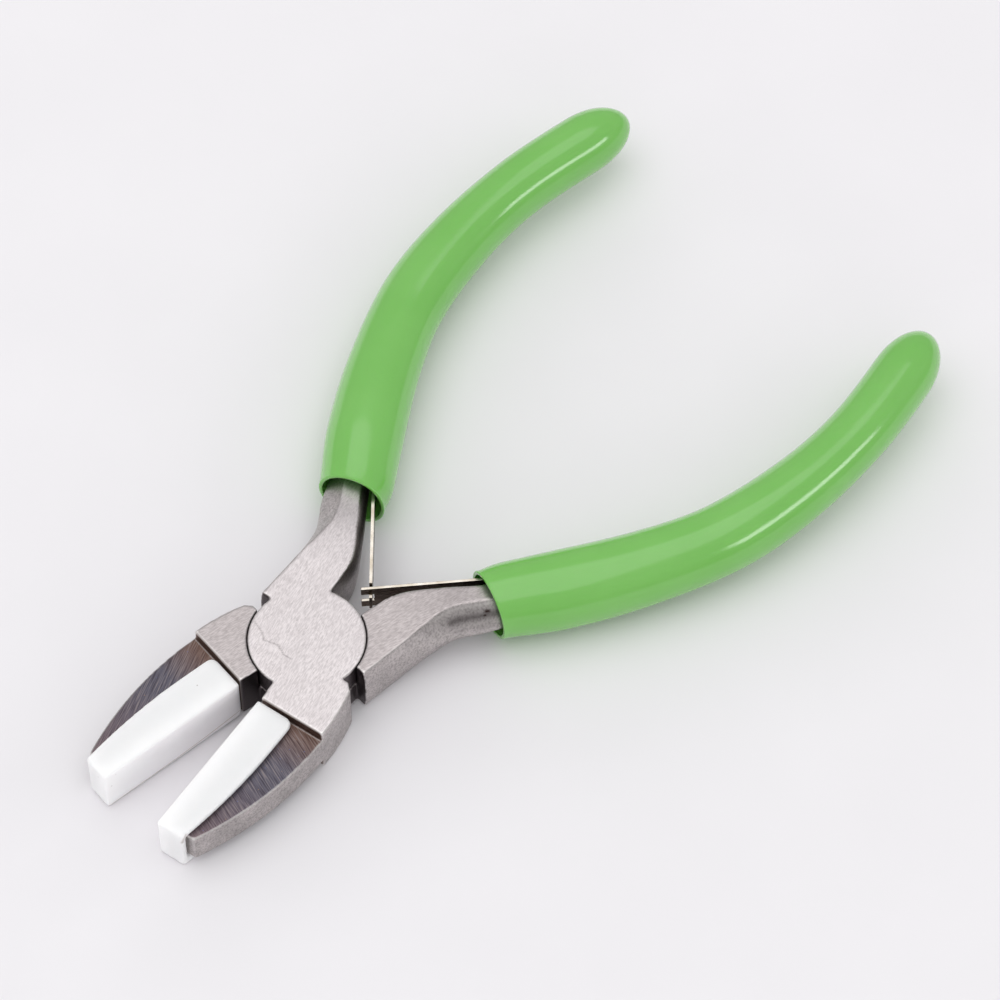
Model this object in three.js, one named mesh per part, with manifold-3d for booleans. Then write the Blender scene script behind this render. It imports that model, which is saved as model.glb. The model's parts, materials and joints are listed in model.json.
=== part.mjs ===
// Flat nose pliers for jewellery work: two forged steel halves lapped on one flush rivet,
// nylon pads over both jaws, a pair of hooked leaf springs and two dipped PVC grip sleeves.
//
// Millimetres, +Z up. The origin is on the pivot axis, in the lower ground face of the joint.
// The nose points to -Y and the handles to +Y, and the pliers stand open at rest.
//
// Both halves are the same forging. It is drawn once, with the pliers shut, z = 0 in the middle
// of its thickness, its jaw at +X and its handle at -X, and its lap on the upper side. The lower
// half is that forging turned over about Y.

import * as THREE from 'three';
import { mergeVertices } from 'three/addons/utils/BufferGeometryUtils.js';
import Module from 'manifold-3d';

const wasm = await Module();
wasm.setup();

// ---------- driving dimensions ----------

const FIT_GAP = 0.3; // between pieces that fit into or rest on each other
const HALF_OPENING = THREE.MathUtils.degToRad(7.9); // each half turns out this far from shut

// joint
const JOINT_THICKNESS = 8.3;
const DISC_RADIUS = 7.8;
const RIVET_RADIUS = 2.5;

// jaw
const NECK_CLEARANCE = 0.4; // from the neck to the middle plane, at the shoulder's front
const SHOULDER_FRONT = 10.7; // pivot to the step in front of the shoulder
const SHOULDER_BACK = 2.3; // pivot to the shoulder's stop face
const SHOULDER_WIDTH = 10.2; // middle plane to the outside of the shoulder
const SHOULDER_CORNER = 0.9; // cut across its back outer corner
const BLADE_THICKNESS = 5;
const BLADE_TIP_WIDTH = 5.1; // middle plane to the blade's outer side, at its tip
const JAW_REACH = 33; // pivot to the front of the pads

// nylon pad
const SHUT_PAD_GAP = 0.3; // between the two gripping faces when shut
const PAD_GRIP_WALL = 1.8; // over the blade's inner side
const PAD_FACE_WALL = 1.05; // over the blade's upper and lower faces
const PAD_FRONT_WALL = 0.9;
const PAD_BACK_WIDTH = 5.9; // middle plane to the pad's outer edge
const PAD_FRONT_WIDTH = 4.1;
const PAD_STRAIGHT = 4.5; // straight part of its outer edge, behind the curve
const PAD_CORNER_RADIUS = 1.1;
const PAD_EDGE_ROUND = 0.4;

// handle
const HALF_JOINT = JOINT_THICKNESS / 2;
const SHANK_START = 2.2; // pivot to the handle's stop face
const SHANK_TAPER = 0.2; // the ground face has sloped down this much where the shank is narrowest
const SIDE_FULLNESS = 2.5; // power of the outer side's bulge
const HANDLE_REACH = 97.3; // pivot to the end of the sleeve, along Y
const MOUTH_REACH = 23.1; // pivot to the mouth of the sleeve, along Y
const MOUTH_INNER = 1.4;
const MOUTH_OUTER = 1.5;
const MOUTH_HALF_HEIGHT = 3.25;
const TANG_INNER = 1.7;
const TANG_OUTER = 1.5;
const TANG_HALF_HEIGHT = 3;
const TANG_END_HALF_HEIGHT = 2.4;

// a station's place along the sleeve, 0 at its mouth and 1 at its end
const gripY = (share) => THREE.MathUtils.lerp(MOUTH_REACH, HANDLE_REACH, share);

const shank = (x, y, inner, outer, innerBulge, outerBulge, height) => (
  { at: [x, y], inner, outer, innerBulge, outerBulge, height });
const tang = (x, share, outerBulge, height) => (
  shank(x, gripY(share), TANG_INNER, TANG_OUTER, 0, outerBulge, height));

// the forging from the joint to the end of its tang: centre in plan, widths of the flat top to the
// inner and the outer side, bulge of both sides, height above the middle plane
const FORGING_STATIONS = [
  shank(-5.3, SHANK_START, 3.7, 3.65, 0.2, 0.4, HALF_JOINT),
  shank(-5.2, 8.5, 3.5, 3.4, 0.35, 0.7, HALF_JOINT),
  shank(-5.3, 13, 3.05, 2.97, 0.4, 1.2, HALF_JOINT),
  shank(-6.4, 17.8, 1.65, 2, 0.4, 1.8, HALF_JOINT - SHANK_TAPER),
  shank(-9.05, gripY(0), MOUTH_INNER, MOUTH_OUTER, 0.1, 1.7, MOUTH_HALF_HEIGHT),
  tang(-13.6, 0.12, 0.7, TANG_HALF_HEIGHT),
  tang(-18.1, 0.265, 0.7, TANG_HALF_HEIGHT),
  tang(-21.3, 0.42, 0.5, TANG_HALF_HEIGHT),
  tang(-21.85, 0.585, 0.3, TANG_END_HALF_HEIGHT),
  tang(-20.45, 0.745, 0.1, TANG_END_HALF_HEIGHT),
];
const SLEEVE_END_STATIONS = [[-17.2, gripY(0.9)], [-14.5, gripY(1)]];
const MOUTH_STATION = 4; // the sleeve starts here
const TANG_END_STATION = FORGING_STATIONS.length - 1;
const END_STATION = TANG_END_STATION + SLEEVE_END_STATIONS.length;
const RINGS_PER_STATION = 4;

// leaf springs
const SPRING_THICKNESS = 0.5;
const SPRING_WIDTH = 4.25;
const SPRING_MEET = 12.1; // pivot to the point where the hooked tips cross, when open
const SPRING_MOUTH_OFFSET = 2.65; // handle's centre line to the spring, where it leaves the sleeve
const SPRING_ROOT_STATION = 5.15; // where its root ends, inside the sleeve
const SPRING_RIVET_STATION = 4.8;
const SLOT_WIDTH = 1.5;
const FORK_TINE_LENGTH = 1.3; // past the crossing
const HOOK_HEAD_LENGTH = 0.5;
const HOOK_HEAD_OVERLAP = 0.55; // of the hook's head over each tine
const SPRING_RIVET_RADIUS = 0.9;
const SPRING_RIVET_HEAD_RADIUS = 1.5;
const SPRING_RIVET_HEAD_HEIGHT = 0.5;

// grip sleeve
const SLEEVE_WALL = 1.1;
const MOUTH_SLANT = 0.25; // the mouth's inner side reaches this much further per mm across
const MOUTH_SLANT_END = 5.3; // station where the rings are square to the handle again
const SLEEVE_SWELL = 0.35; // the belly's outer radius over the mouth's
const SLEEVE_NOSE_LENGTH = 8; // rounded blunt end
const SLEEVE_SIDES = 20;

// ---------- colours ----------

const groundSteel = new THREE.MeshStandardMaterial({ color: 0xdad4d1, roughness: 0.38, metalness: 1 });
const forgedSteel = new THREE.MeshStandardMaterial({ color: 0xc9c3c1, roughness: 0.42, metalness: 1 });
const rivetSteel = new THREE.MeshStandardMaterial({ color: 0xd2cdca, roughness: 0.35, metalness: 1 });
const nylon = new THREE.MeshStandardMaterial({ color: 0xf3f2f4, roughness: 0.5, metalness: 0 });
const springSteel = new THREE.MeshStandardMaterial({ color: 0xcfc4b4, roughness: 0.25, metalness: 1 });
const dippedVinyl = new THREE.MeshStandardMaterial({ color: 0x7fbf6c, roughness: 0.28, metalness: 0 });

// ---------- solids ----------

function toSolid(geometry) {
  const bare = geometry.clone();
  bare.deleteAttribute('normal');
  bare.deleteAttribute('uv');
  const merged = mergeVertices(bare);
  return new wasm.Manifold(new wasm.Mesh({
    numProp: 3,
    vertProperties: new Float32Array(merged.attributes.position.array),
    triVerts: new Uint32Array(merged.index.array),
  }));
}

function toGeometry(solid) {
  const mesh = solid.getMesh();
  const geometry = new THREE.BufferGeometry();
  geometry.setAttribute('position', new THREE.BufferAttribute(mesh.vertProperties, 3));
  geometry.setIndex(new THREE.BufferAttribute(mesh.triVerts, 1));
  geometry.computeVertexNormals();
  return geometry;
}

// a closed skin over rings of equal point count, each anticlockwise as seen along the loft; the
// first and last ring are capped flat
function loft(rings) {
  const count = rings[0].length;
  const points = rings.flat();
  const index = [];
  for (let r = 0; r + 1 < rings.length; r += 1) {
    for (let i = 0; i < count; i += 1) {
      const a = r * count + i;
      const b = r * count + (i + 1) % count;
      index.push(a, b + count, b, a, a + count, b + count);
    }
  }
  const last = (rings.length - 1) * count;
  for (let i = 1; i + 1 < count; i += 1) {
    index.push(0, i, i + 1, last, last + i + 1, last + i);
  }
  const geometry = new THREE.BufferGeometry().setFromPoints(points);
  geometry.setIndex(index);
  return geometry;
}

// a flat plate with the given outline, centred on the middle plane
function plate(outline, thickness, edgeRound = 0) {
  const geometry = new THREE.ExtrudeGeometry(outline, {
    depth: thickness - 2 * edgeRound,
    bevelEnabled: edgeRound > 0,
    bevelSize: edgeRound,
    bevelThickness: edgeRound,
    bevelOffset: -edgeRound,
    bevelSegments: 3,
    curveSegments: 10,
  });
  return toSolid(geometry.translate(0, 0, edgeRound - thickness / 2));
}

function verticalCylinder(radius, bottom, top) {
  const geometry = new THREE.CylinderGeometry(radius, radius, top - bottom, 64);
  geometry.rotateX(Math.PI / 2);
  return toSolid(geometry.translate(0, 0, (bottom + top) / 2));
}

// ---------- handle line ----------

const handleLine = new THREE.CatmullRomCurve3(
  [...FORGING_STATIONS.map(({ at }) => at), ...SLEEVE_END_STATIONS]
    .map(([x, y]) => new THREE.Vector3(x, y, 0)),
);

// centre of the handle at a station, with the direction along it and the one to its inner side
function handleFrame(station) {
  const t = station / END_STATION;
  const along = handleLine.getTangent(t);
  const inward = new THREE.Vector3(along.y, -along.x, 0);
  return { centre: handleLine.getPoint(t), along, inward };
}

function handlePoint(station, across, up) {
  const { centre, inward } = handleFrame(station);
  return centre.addScaledVector(inward, across).setZ(up);
}

// a size of the forging between two stations, eased from one to the next
function forgingSize(station, name) {
  const before = Math.min(Math.floor(station), TANG_END_STATION - 1);
  const mix = THREE.MathUtils.smoothstep(station - before, 0, 1);
  return THREE.MathUtils.lerp(FORGING_STATIONS[before][name], FORGING_STATIONS[before + 1][name], mix);
}

// ---------- forged half ----------

function forgingRing(station) {
  const inner = forgingSize(station, 'inner');
  const outer = forgingSize(station, 'outer');
  const innerBulge = forgingSize(station, 'innerBulge');
  const outerBulge = forgingSize(station, 'outerBulge');
  const height = forgingSize(station, 'height');
  const steps = 6;
  const ring = [];
  for (let i = 0; i <= steps; i += 1) {
    const up = 1 - 2 * i / steps;
    const bulge = outerBulge * (1 - Math.abs(up) ** SIDE_FULLNESS);
    ring.push(handlePoint(station, -outer - bulge, up * height));
  }
  for (let i = 0; i <= steps; i += 1) {
    const up = 2 * i / steps - 1;
    ring.push(handlePoint(station, inner + innerBulge * (1 - up * up), up * height));
  }
  return ring;
}

function handleSolid() {
  const rings = [];
  for (let i = 0; i <= TANG_END_STATION * RINGS_PER_STATION; i += 1) {
    rings.push(forgingRing(i / RINGS_PER_STATION));
  }
  return toSolid(loft(rings));
}

function shoulderOutline() {
  const outline = new THREE.Shape();
  const insideDisc = DISC_RADIUS * 0.6;
  outline.moveTo(0, -insideDisc);
  outline.lineTo(NECK_CLEARANCE / 2, -DISC_RADIUS);
  outline.lineTo(NECK_CLEARANCE, -SHOULDER_FRONT);
  outline.lineTo(SHOULDER_WIDTH, -SHOULDER_FRONT);
  outline.quadraticCurveTo(
    SHOULDER_WIDTH, -(SHOULDER_FRONT + SHOULDER_BACK) / 2,
    SHOULDER_WIDTH - SHOULDER_CORNER, -SHOULDER_BACK - SHOULDER_CORNER,
  );
  outline.lineTo(SHOULDER_WIDTH - 2 * SHOULDER_CORNER, -SHOULDER_BACK);
  outline.lineTo(insideDisc, -SHOULDER_BACK);
  return outline;
}

const BLADE_INNER = SHUT_PAD_GAP / 2 + PAD_GRIP_WALL + FIT_GAP;
const BLADE_TIP = JAW_REACH - PAD_FRONT_WALL - FIT_GAP;

// radius of an arc that leaves a straight line square and falls away by drop over a length
const arcRadius = (length, drop) => (length ** 2 + drop ** 2) / (2 * drop);

// the blade in plan, drawn larger all round by grow; its back end reaches into the shoulder
function bladeOutline(grow) {
  const outline = new THREE.Shape();
  const curve = arcRadius(BLADE_TIP - SHOULDER_FRONT, SHOULDER_WIDTH - BLADE_TIP_WIDTH);
  const radius = curve + grow;
  const tip = BLADE_TIP + grow;
  const sweep = Math.asin((tip - SHOULDER_FRONT) / radius);
  const back = SHOULDER_FRONT - 2;
  outline.moveTo(BLADE_INNER - grow, -back);
  outline.lineTo(BLADE_INNER - grow, -tip);
  outline.absarc(SHOULDER_WIDTH - curve, -SHOULDER_FRONT, radius, -sweep, 0, false);
  outline.lineTo(SHOULDER_WIDTH + grow, -back);
  return outline;
}

const forgedHalf = handleSolid()
  .add(plate(shoulderOutline(), JOINT_THICKNESS))
  .add(plate(bladeOutline(0), BLADE_THICKNESS))
  .subtract(verticalCylinder(DISC_RADIUS + FIT_GAP, -JOINT_THICKNESS, FIT_GAP / 2))
  .add(verticalCylinder(DISC_RADIUS, FIT_GAP / 2, HALF_JOINT))
  .subtract(verticalCylinder(RIVET_RADIUS + FIT_GAP, -JOINT_THICKNESS, JOINT_THICKNESS));

// ---------- pivot rivet ----------

const pivotRivetGeometry = new THREE.CylinderGeometry(RIVET_RADIUS, RIVET_RADIUS, JOINT_THICKNESS, 48);
pivotRivetGeometry.rotateX(Math.PI / 2);

// ---------- nylon pad: a block with a pocket, open outwards, that the blade lies in ----------

function padOutline() {
  const outline = new THREE.Shape();
  const grip = SHUT_PAD_GAP / 2;
  const back = SHOULDER_FRONT + FIT_GAP;
  const curveStart = back + PAD_STRAIGHT;
  const radius = arcRadius(JAW_REACH - curveStart, PAD_BACK_WIDTH - PAD_FRONT_WIDTH);
  const sweep = Math.asin((JAW_REACH - curveStart) / radius);
  outline.moveTo(grip, -back);
  outline.lineTo(grip, -JAW_REACH);
  outline.absarc(PAD_BACK_WIDTH - radius, -curveStart, radius, -sweep, 0, false);
  outline.lineTo(PAD_BACK_WIDTH, -back - PAD_CORNER_RADIUS);
  outline.absarc(
    PAD_BACK_WIDTH - PAD_CORNER_RADIUS, -back - PAD_CORNER_RADIUS, PAD_CORNER_RADIUS,
    0, Math.PI / 2, false,
  );
  return outline;
}

const jawPad = plate(padOutline(), BLADE_THICKNESS + 2 * FIT_GAP + 2 * PAD_FACE_WALL, PAD_EDGE_ROUND)
  .subtract(plate(bladeOutline(FIT_GAP), BLADE_THICKNESS + 2 * FIT_GAP));

// ---------- leaf springs and their rivets ----------

const SPRING_ROOT_OFFSET = TANG_INNER + FIT_GAP + SPRING_THICKNESS / 2;

const crossing = new THREE.Vector3(0, SPRING_MEET, 0).applyAxisAngle(
  new THREE.Vector3(0, 0, 1), -HALF_OPENING,
);
const springMouth = handlePoint(MOUTH_STATION, SPRING_MOUTH_OFFSET, 0);
const tipDirection = crossing.clone().sub(springMouth).normalize();

// the strip lies along the tang inside the sleeve and runs straight from the mouth to its tip
function springStrip(pastCrossing) {
  const rootSteps = 6;
  const line = [];
  for (let i = 0; i < rootSteps; i += 1) {
    const station = THREE.MathUtils.lerp(SPRING_ROOT_STATION, MOUTH_STATION, i / rootSteps);
    const leaving = THREE.MathUtils.smoothstep(station, MOUTH_STATION, SPRING_RIVET_STATION - 0.2);
    const offset = THREE.MathUtils.lerp(SPRING_MOUTH_OFFSET, SPRING_ROOT_OFFSET, leaving);
    line.push(handlePoint(station, offset, 0));
  }
  line.push(springMouth);
  line.push(crossing.clone().addScaledVector(tipDirection, pastCrossing));
  const rings = line.map((point, i) => {
    const next = line[Math.min(i + 1, line.length - 1)];
    const previous = line[Math.max(i - 1, 0)];
    const along = next.clone().sub(previous).normalize();
    const across = new THREE.Vector3(along.y, -along.x, 0);
    return [[1, -1], [1, 1], [-1, 1], [-1, -1]].map(([side, up]) => point.clone()
      .addScaledVector(across, side * SPRING_THICKNESS / 2)
      .setZ(up * SPRING_WIDTH / 2));
  });
  return toSolid(loft(rings));
}

// a block across the strip near its tip, from start to end past the crossing and from bottom to top
function tipBlock(start, end, bottom, top) {
  const geometry = new THREE.BoxGeometry(end - start, 4 * SPRING_THICKNESS, top - bottom);
  geometry.translate((start + end) / 2, 0, (bottom + top) / 2);
  geometry.rotateZ(Math.atan2(tipDirection.y, tipDirection.x));
  return toSolid(geometry.translate(crossing.x, crossing.y, 0));
}

const rivetSeat = handleFrame(SPRING_RIVET_STATION);

// turned about the line through the tang, with zero on the handle's centre line
function acrossTang(profile, sides) {
  const geometry = new THREE.LatheGeometry(profile.map(([r, d]) => new THREE.Vector2(r, d)), sides);
  geometry.applyQuaternion(new THREE.Quaternion().setFromUnitVectors(
    new THREE.Vector3(0, 1, 0), rivetSeat.inward,
  ));
  return toSolid(geometry.translate(rivetSeat.centre.x, rivetSeat.centre.y, 0));
}

const springFace = SPRING_ROOT_OFFSET + SPRING_THICKNESS / 2;
const rivetFoot = -TANG_OUTER - SPRING_RIVET_HEAD_HEIGHT;
const pastTang = 2 * JOINT_THICKNESS;
const rivetHole = acrossTang([
  [0, -pastTang],
  [SPRING_RIVET_RADIUS + FIT_GAP, -pastTang],
  [SPRING_RIVET_RADIUS + FIT_GAP, pastTang],
  [0, pastTang],
], 16);
const springRivet = acrossTang([
  [0, rivetFoot],
  [SPRING_RIVET_RADIUS, rivetFoot],
  [SPRING_RIVET_RADIUS, springFace + FIT_GAP],
  [SPRING_RIVET_HEAD_RADIUS, springFace + FIT_GAP],
  [SPRING_RIVET_HEAD_RADIUS, springFace + FIT_GAP + SPRING_RIVET_HEAD_HEIGHT / 2],
  [SPRING_RIVET_RADIUS, springFace + FIT_GAP + SPRING_RIVET_HEAD_HEIGHT],
  [0, springFace + FIT_GAP + SPRING_RIVET_HEAD_HEIGHT],
], 16);

const neckHalf = SLOT_WIDTH / 2 - FIT_GAP;
const headHalf = SLOT_WIDTH / 2 + HOOK_HEAD_OVERLAP;
const throughStrip = SPRING_THICKNESS / 2 + FIT_GAP;
const forkSpring = springStrip(FORK_TINE_LENGTH)
  .subtract(tipBlock(-throughStrip, FORK_TINE_LENGTH + 1, -SLOT_WIDTH / 2, SLOT_WIDTH / 2))
  .subtract(rivetHole);
const hookSpring = springStrip(throughStrip + HOOK_HEAD_LENGTH)
  .subtract(tipBlock(-throughStrip, throughStrip, neckHalf, SPRING_WIDTH))
  .subtract(tipBlock(-throughStrip, throughStrip, -SPRING_WIDTH, -neckHalf))
  .subtract(tipBlock(0, 2 * SPRING_WIDTH, headHalf, SPRING_WIDTH))
  .subtract(tipBlock(0, 2 * SPRING_WIDTH, -SPRING_WIDTH, -headHalf))
  .subtract(rivetHole);

// ---------- grip sleeve: one skin, open at the mouth and closed at the end ----------

// outer radius that clears what lies inside by the fit gap
const radiusOver = (across, up) => Math.hypot(across, up) + FIT_GAP + SLEEVE_WALL;

const MOUTH_RADIUS = Math.max(
  radiusOver(SPRING_MOUTH_OFFSET + SPRING_THICKNESS / 2, SPRING_WIDTH / 2),
  radiusOver(Math.max(MOUTH_INNER, MOUTH_OUTER), MOUTH_HALF_HEIGHT),
);
const tangHalfWidth = Math.max(TANG_INNER, TANG_OUTER);
const SLEEVE_RADII = [
  { station: MOUTH_STATION, radius: MOUTH_RADIUS },
  { station: MOUTH_STATION + 1, radius: MOUTH_RADIUS + SLEEVE_SWELL },
  { station: MOUTH_STATION + 3, radius: radiusOver(tangHalfWidth, TANG_HALF_HEIGHT) },
  { station: TANG_END_STATION, radius: radiusOver(tangHalfWidth, TANG_END_HALF_HEIGHT) },
  { station: END_STATION, radius: radiusOver(tangHalfWidth, TANG_END_HALF_HEIGHT) },
];

function sleeveRadius(station) {
  const before = SLEEVE_RADII.findLastIndex((row) => row.station <= station);
  const from = SLEEVE_RADII[Math.min(before, SLEEVE_RADII.length - 2)];
  const to = SLEEVE_RADII[Math.min(before, SLEEVE_RADII.length - 2) + 1];
  const mix = THREE.MathUtils.smoothstep(station, from.station, to.station);
  return THREE.MathUtils.lerp(from.radius, to.radius, mix);
}

function sleeveRing(station, radius) {
  const { along } = handleFrame(station);
  const slant = MOUTH_SLANT * (1 - THREE.MathUtils.smoothstep(station, MOUTH_STATION, MOUTH_SLANT_END));
  const ring = [];
  for (let i = 0; i < SLEEVE_SIDES; i += 1) {
    const angle = 2 * Math.PI * i / SLEEVE_SIDES;
    const across = radius * Math.cos(angle);
    const point = handlePoint(station, across, radius * Math.sin(angle));
    ring.push(point.addScaledVector(along, -across * slant));
  }
  return ring;
}

// rings from the mouth to a nearly shut round end; inset is how far inside the outer skin they lie
function sleeveSkin(inset) {
  const rings = [];
  const lastLength = handleLine.getPoint(1).distanceTo(handlePoint(END_STATION - 1, 0, 0));
  const noseStart = END_STATION - SLEEVE_NOSE_LENGTH / lastLength;
  const steps = Math.round((noseStart - MOUTH_STATION) * RINGS_PER_STATION);
  for (let i = 0; i <= steps; i += 1) {
    const station = THREE.MathUtils.lerp(MOUTH_STATION, noseStart, i / steps);
    rings.push(sleeveRing(station, sleeveRadius(station) - inset));
  }
  const noseSteps = 6;
  const noseReach = END_STATION - noseStart - inset / lastLength;
  for (let i = 1; i <= noseSteps; i += 1) {
    const angle = (Math.PI / 2) * i / (noseSteps + 0.3);
    const station = noseStart + noseReach * Math.sin(angle);
    rings.push(sleeveRing(station, (sleeveRadius(noseStart) - inset) * Math.cos(angle)));
  }
  return rings;
}

const gripSleeve = toSolid(loft([...sleeveSkin(SLEEVE_WALL).reverse(), ...sleeveSkin(0)]));

// ---------- assembly ----------

function piece(name, solid, material) {
  const mesh = new THREE.Mesh(toGeometry(solid), material);
  mesh.name = name;
  return mesh;
}

// one half with everything that is fixed to it, opened about the pivot
function half(names, spring) {
  const group = new THREE.Group();
  group.rotation.z = HALF_OPENING;
  group.add(
    piece(names.half, forgedHalf.subtract(rivetHole), names.steel),
    piece(names.pad, jawPad, nylon),
    piece(names.spring, spring, springSteel),
    piece(names.springRivet, springRivet, rivetSteel),
    piece(names.sleeve, gripSleeve, dippedVinyl),
  );
  return group;
}

const upperHalf = half({
  half: 'upper_half',
  steel: groundSteel,
  pad: 'upper_jaw_pad',
  spring: 'hook_spring',
  springRivet: 'hook_spring_rivet',
  sleeve: 'upper_grip_sleeve',
}, hookSpring);

const lowerHalf = new THREE.Group();
lowerHalf.rotation.y = Math.PI;
lowerHalf.add(half({
  half: 'lower_half',
  steel: forgedSteel,
  pad: 'lower_jaw_pad',
  spring: 'fork_spring',
  springRivet: 'fork_spring_rivet',
  sleeve: 'lower_grip_sleeve',
}, forkSpring));

const pivotRivet = new THREE.Mesh(pivotRivetGeometry, rivetSteel);
pivotRivet.name = 'pivot_rivet';

const pliers = new THREE.Group();
pliers.position.z = HALF_JOINT;
pliers.add(upperHalf, lowerHalf, pivotRivet);

export default pliers;
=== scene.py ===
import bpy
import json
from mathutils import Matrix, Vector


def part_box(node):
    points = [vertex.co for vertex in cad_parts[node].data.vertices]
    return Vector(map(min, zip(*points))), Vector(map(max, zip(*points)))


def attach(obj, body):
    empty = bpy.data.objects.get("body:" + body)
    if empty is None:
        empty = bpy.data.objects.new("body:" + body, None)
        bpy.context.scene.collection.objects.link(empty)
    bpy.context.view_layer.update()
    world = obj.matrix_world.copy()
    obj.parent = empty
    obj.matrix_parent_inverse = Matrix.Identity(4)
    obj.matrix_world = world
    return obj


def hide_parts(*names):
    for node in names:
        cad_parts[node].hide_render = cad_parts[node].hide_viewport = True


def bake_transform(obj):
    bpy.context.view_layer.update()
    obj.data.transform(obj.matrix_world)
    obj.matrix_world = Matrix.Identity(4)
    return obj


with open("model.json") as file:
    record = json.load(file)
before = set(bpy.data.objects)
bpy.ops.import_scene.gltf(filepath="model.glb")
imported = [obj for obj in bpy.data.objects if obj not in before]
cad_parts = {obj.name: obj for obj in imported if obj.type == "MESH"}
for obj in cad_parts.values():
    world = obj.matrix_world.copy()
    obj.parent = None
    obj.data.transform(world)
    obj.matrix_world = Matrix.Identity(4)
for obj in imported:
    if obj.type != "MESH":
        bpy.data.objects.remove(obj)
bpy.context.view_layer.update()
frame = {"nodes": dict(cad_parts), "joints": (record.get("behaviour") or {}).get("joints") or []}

import json

import bpy
import numpy as np
from mathutils import Matrix, Vector


# ---------------------------------------------------------------- forged halves
# Two drop-forged carbon steel halves, alike but turned over on each other. Each is a jaw blade, a
# full-depth shoulder, a lap disc and a handle that thins into a tang. The flats are ground after
# forging, the beds beside the jaws are milled, and the sides keep the forging's own skin.

# Sizes are in mm. A half is drawn with the pliers shut and z = 0 at mid-thickness: the jaw lies
# along -Y on the +X side, the handle along +Y on the -X side, and the disc is on the upper side.

MM = 0.001
joint = frame["joints"][0]
pivot = np.array(joint["pos_m"]) / MM
HALF_OPENING = np.radians(joint["range_deg"][1] / 2)
HALF_JOINT = float(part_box("pivot_rivet")[1].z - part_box("pivot_rivet")[0].z) / MM / 2
FIT_GAP = 0.3
DISC_RADIUS = 7.8
RIVET_BORE_RADIUS = 2.8
NECK_CLEARANCE = 0.4
SHOULDER_FRONT = 10.7
SHOULDER_BACK = 2.3
SHOULDER_WIDTH = 10.2
SHOULDER_CORNER = 0.9
BLADE_HALF_THICKNESS = 2.5
BLADE_INNER = 2.25
BLADE_TIP = 31.8
BLADE_TIP_WIDTH = 5.1
LAP_HAIRLINE = 0.07
HALF_VOXEL = 0.16
HALF_SMOOTHING = 4

# centre x and y, flat width to the inner and outer side, bulge of both sides, half height, and
# the fullness of the outer side
HANDLE_STATIONS = np.array([
    (-5.3, 2.2, 3.7, 3.65, 0.2, 0.4, 4.15, 2.5),
    (-5.2, 8.5, 3.5, 3.4, 0.35, 0.7, 4.15, 2.5),
    (-5.3, 13, 3.05, 2.97, 0.4, 1.4, 4.15, 2.2),
    (-6.4, 17.8, 1.5, 1.8, 0.7, 2.5, 3.95, 1.6),
    (-9.05, 23.1, 1.05, 1.3, 0.8, 2.9, 3.25, 1.45),
    (-13.6, 32.0, 1.7, 1.5, 0, 0.9, 3, 2),
    (-18.1, 42.76, 1.7, 1.5, 0, 0.7, 3, 2.5),
    (-21.3, 54.26, 1.7, 1.5, 0, 0.5, 3, 2.5),
    (-21.85, 66.51, 1.7, 1.5, 0, 0.3, 2.4, 2.5),
    (-20.45, 78.38, 1.7, 1.5, 0, 0.1, 2.4, 2.5),
    (-17.2, 89.88, 1.7, 1.5, 0, 0, 2.4, 2.5),
    (-14.5, 97.3, 1.7, 1.5, 0, 0, 2.4, 2.5),
])
MOUTH_STATION = 4
TANG_START_STATION = 5.15
TANG_END_STATION = 9
END_STATION = 11


def eased(t):
    """3t² - 2t³ between 0 and 1, and level outside."""
    t = np.clip(t, 0, 1)
    return t * t * (3 - 2 * t)


def handle_frame(station):
    """Centripetal Catmull-Rom curve through the stations: the centre, the unit direction along it
    and the direction to the handle's inner side, as an array row for each station number."""
    places = HANDLE_STATIONS[:, :2]
    ends = [2 * places[0] - places[1]], [2 * places[-1] - places[-2]]
    points = np.vstack([ends[0], places, ends[1]])
    station = np.atleast_1d(np.asarray(station, float))
    part = np.clip(np.floor(station).astype(int), 0, END_STATION - 1)
    t = (station - part)[:, None]
    p0, p1, p2, p3 = (points[part + i] for i in range(4))
    d0, d1, d2 = (
        np.sqrt(np.linalg.norm(b - a, axis=1))[:, None]
        for a, b in ((p0, p1), (p1, p2), (p2, p3))
    )
    v1 = ((p1 - p0) / d0 - (p2 - p0) / (d0 + d1) + (p2 - p1) / d1) * d1
    v2 = ((p2 - p1) / d1 - (p3 - p1) / (d1 + d2) + (p3 - p2) / d2) * d1
    cubic = 2 * p1 - 2 * p2 + v1 + v2
    square = -3 * p1 + 3 * p2 - 2 * v1 - v2
    centre = ((cubic * t + square) * t + v1) * t + p1
    along = (3 * cubic * t + 2 * square) * t + v1
    along /= np.linalg.norm(along, axis=1)[:, None]
    return centre, along, np.column_stack([along[:, 1], -along[:, 0]])


def handle_size(station, column):
    """One column of the station table, on a uniform Catmull-Rom curve through its rows."""
    sizes = HANDLE_STATIONS[:, column]
    sizes = np.concatenate([[2 * sizes[0] - sizes[1]], sizes, [2 * sizes[-1] - sizes[-2]]])
    part = np.clip(np.floor(station).astype(int), 0, END_STATION - 1)
    t = station - part
    p0, p1, p2, p3 = (sizes[part + i] for i in range(4))
    square = 2 * p0 - 5 * p1 + 4 * p2 - p3
    return p1 + t / 2 * (p2 - p0 + t * (square + t * (3 * (p1 - p2) + p3 - p0)))


def ring_faces(rings, around):
    """Quads between neighbouring rings of points, each ring closed on itself."""
    first = (np.arange(rings - 1) * around)[:, None] + np.arange(around)
    second = (np.arange(rings - 1) * around)[:, None] + (np.arange(around) + 1) % around
    return np.stack([first, second, second + around, first + around], -1).reshape(-1, 4).tolist()


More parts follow.
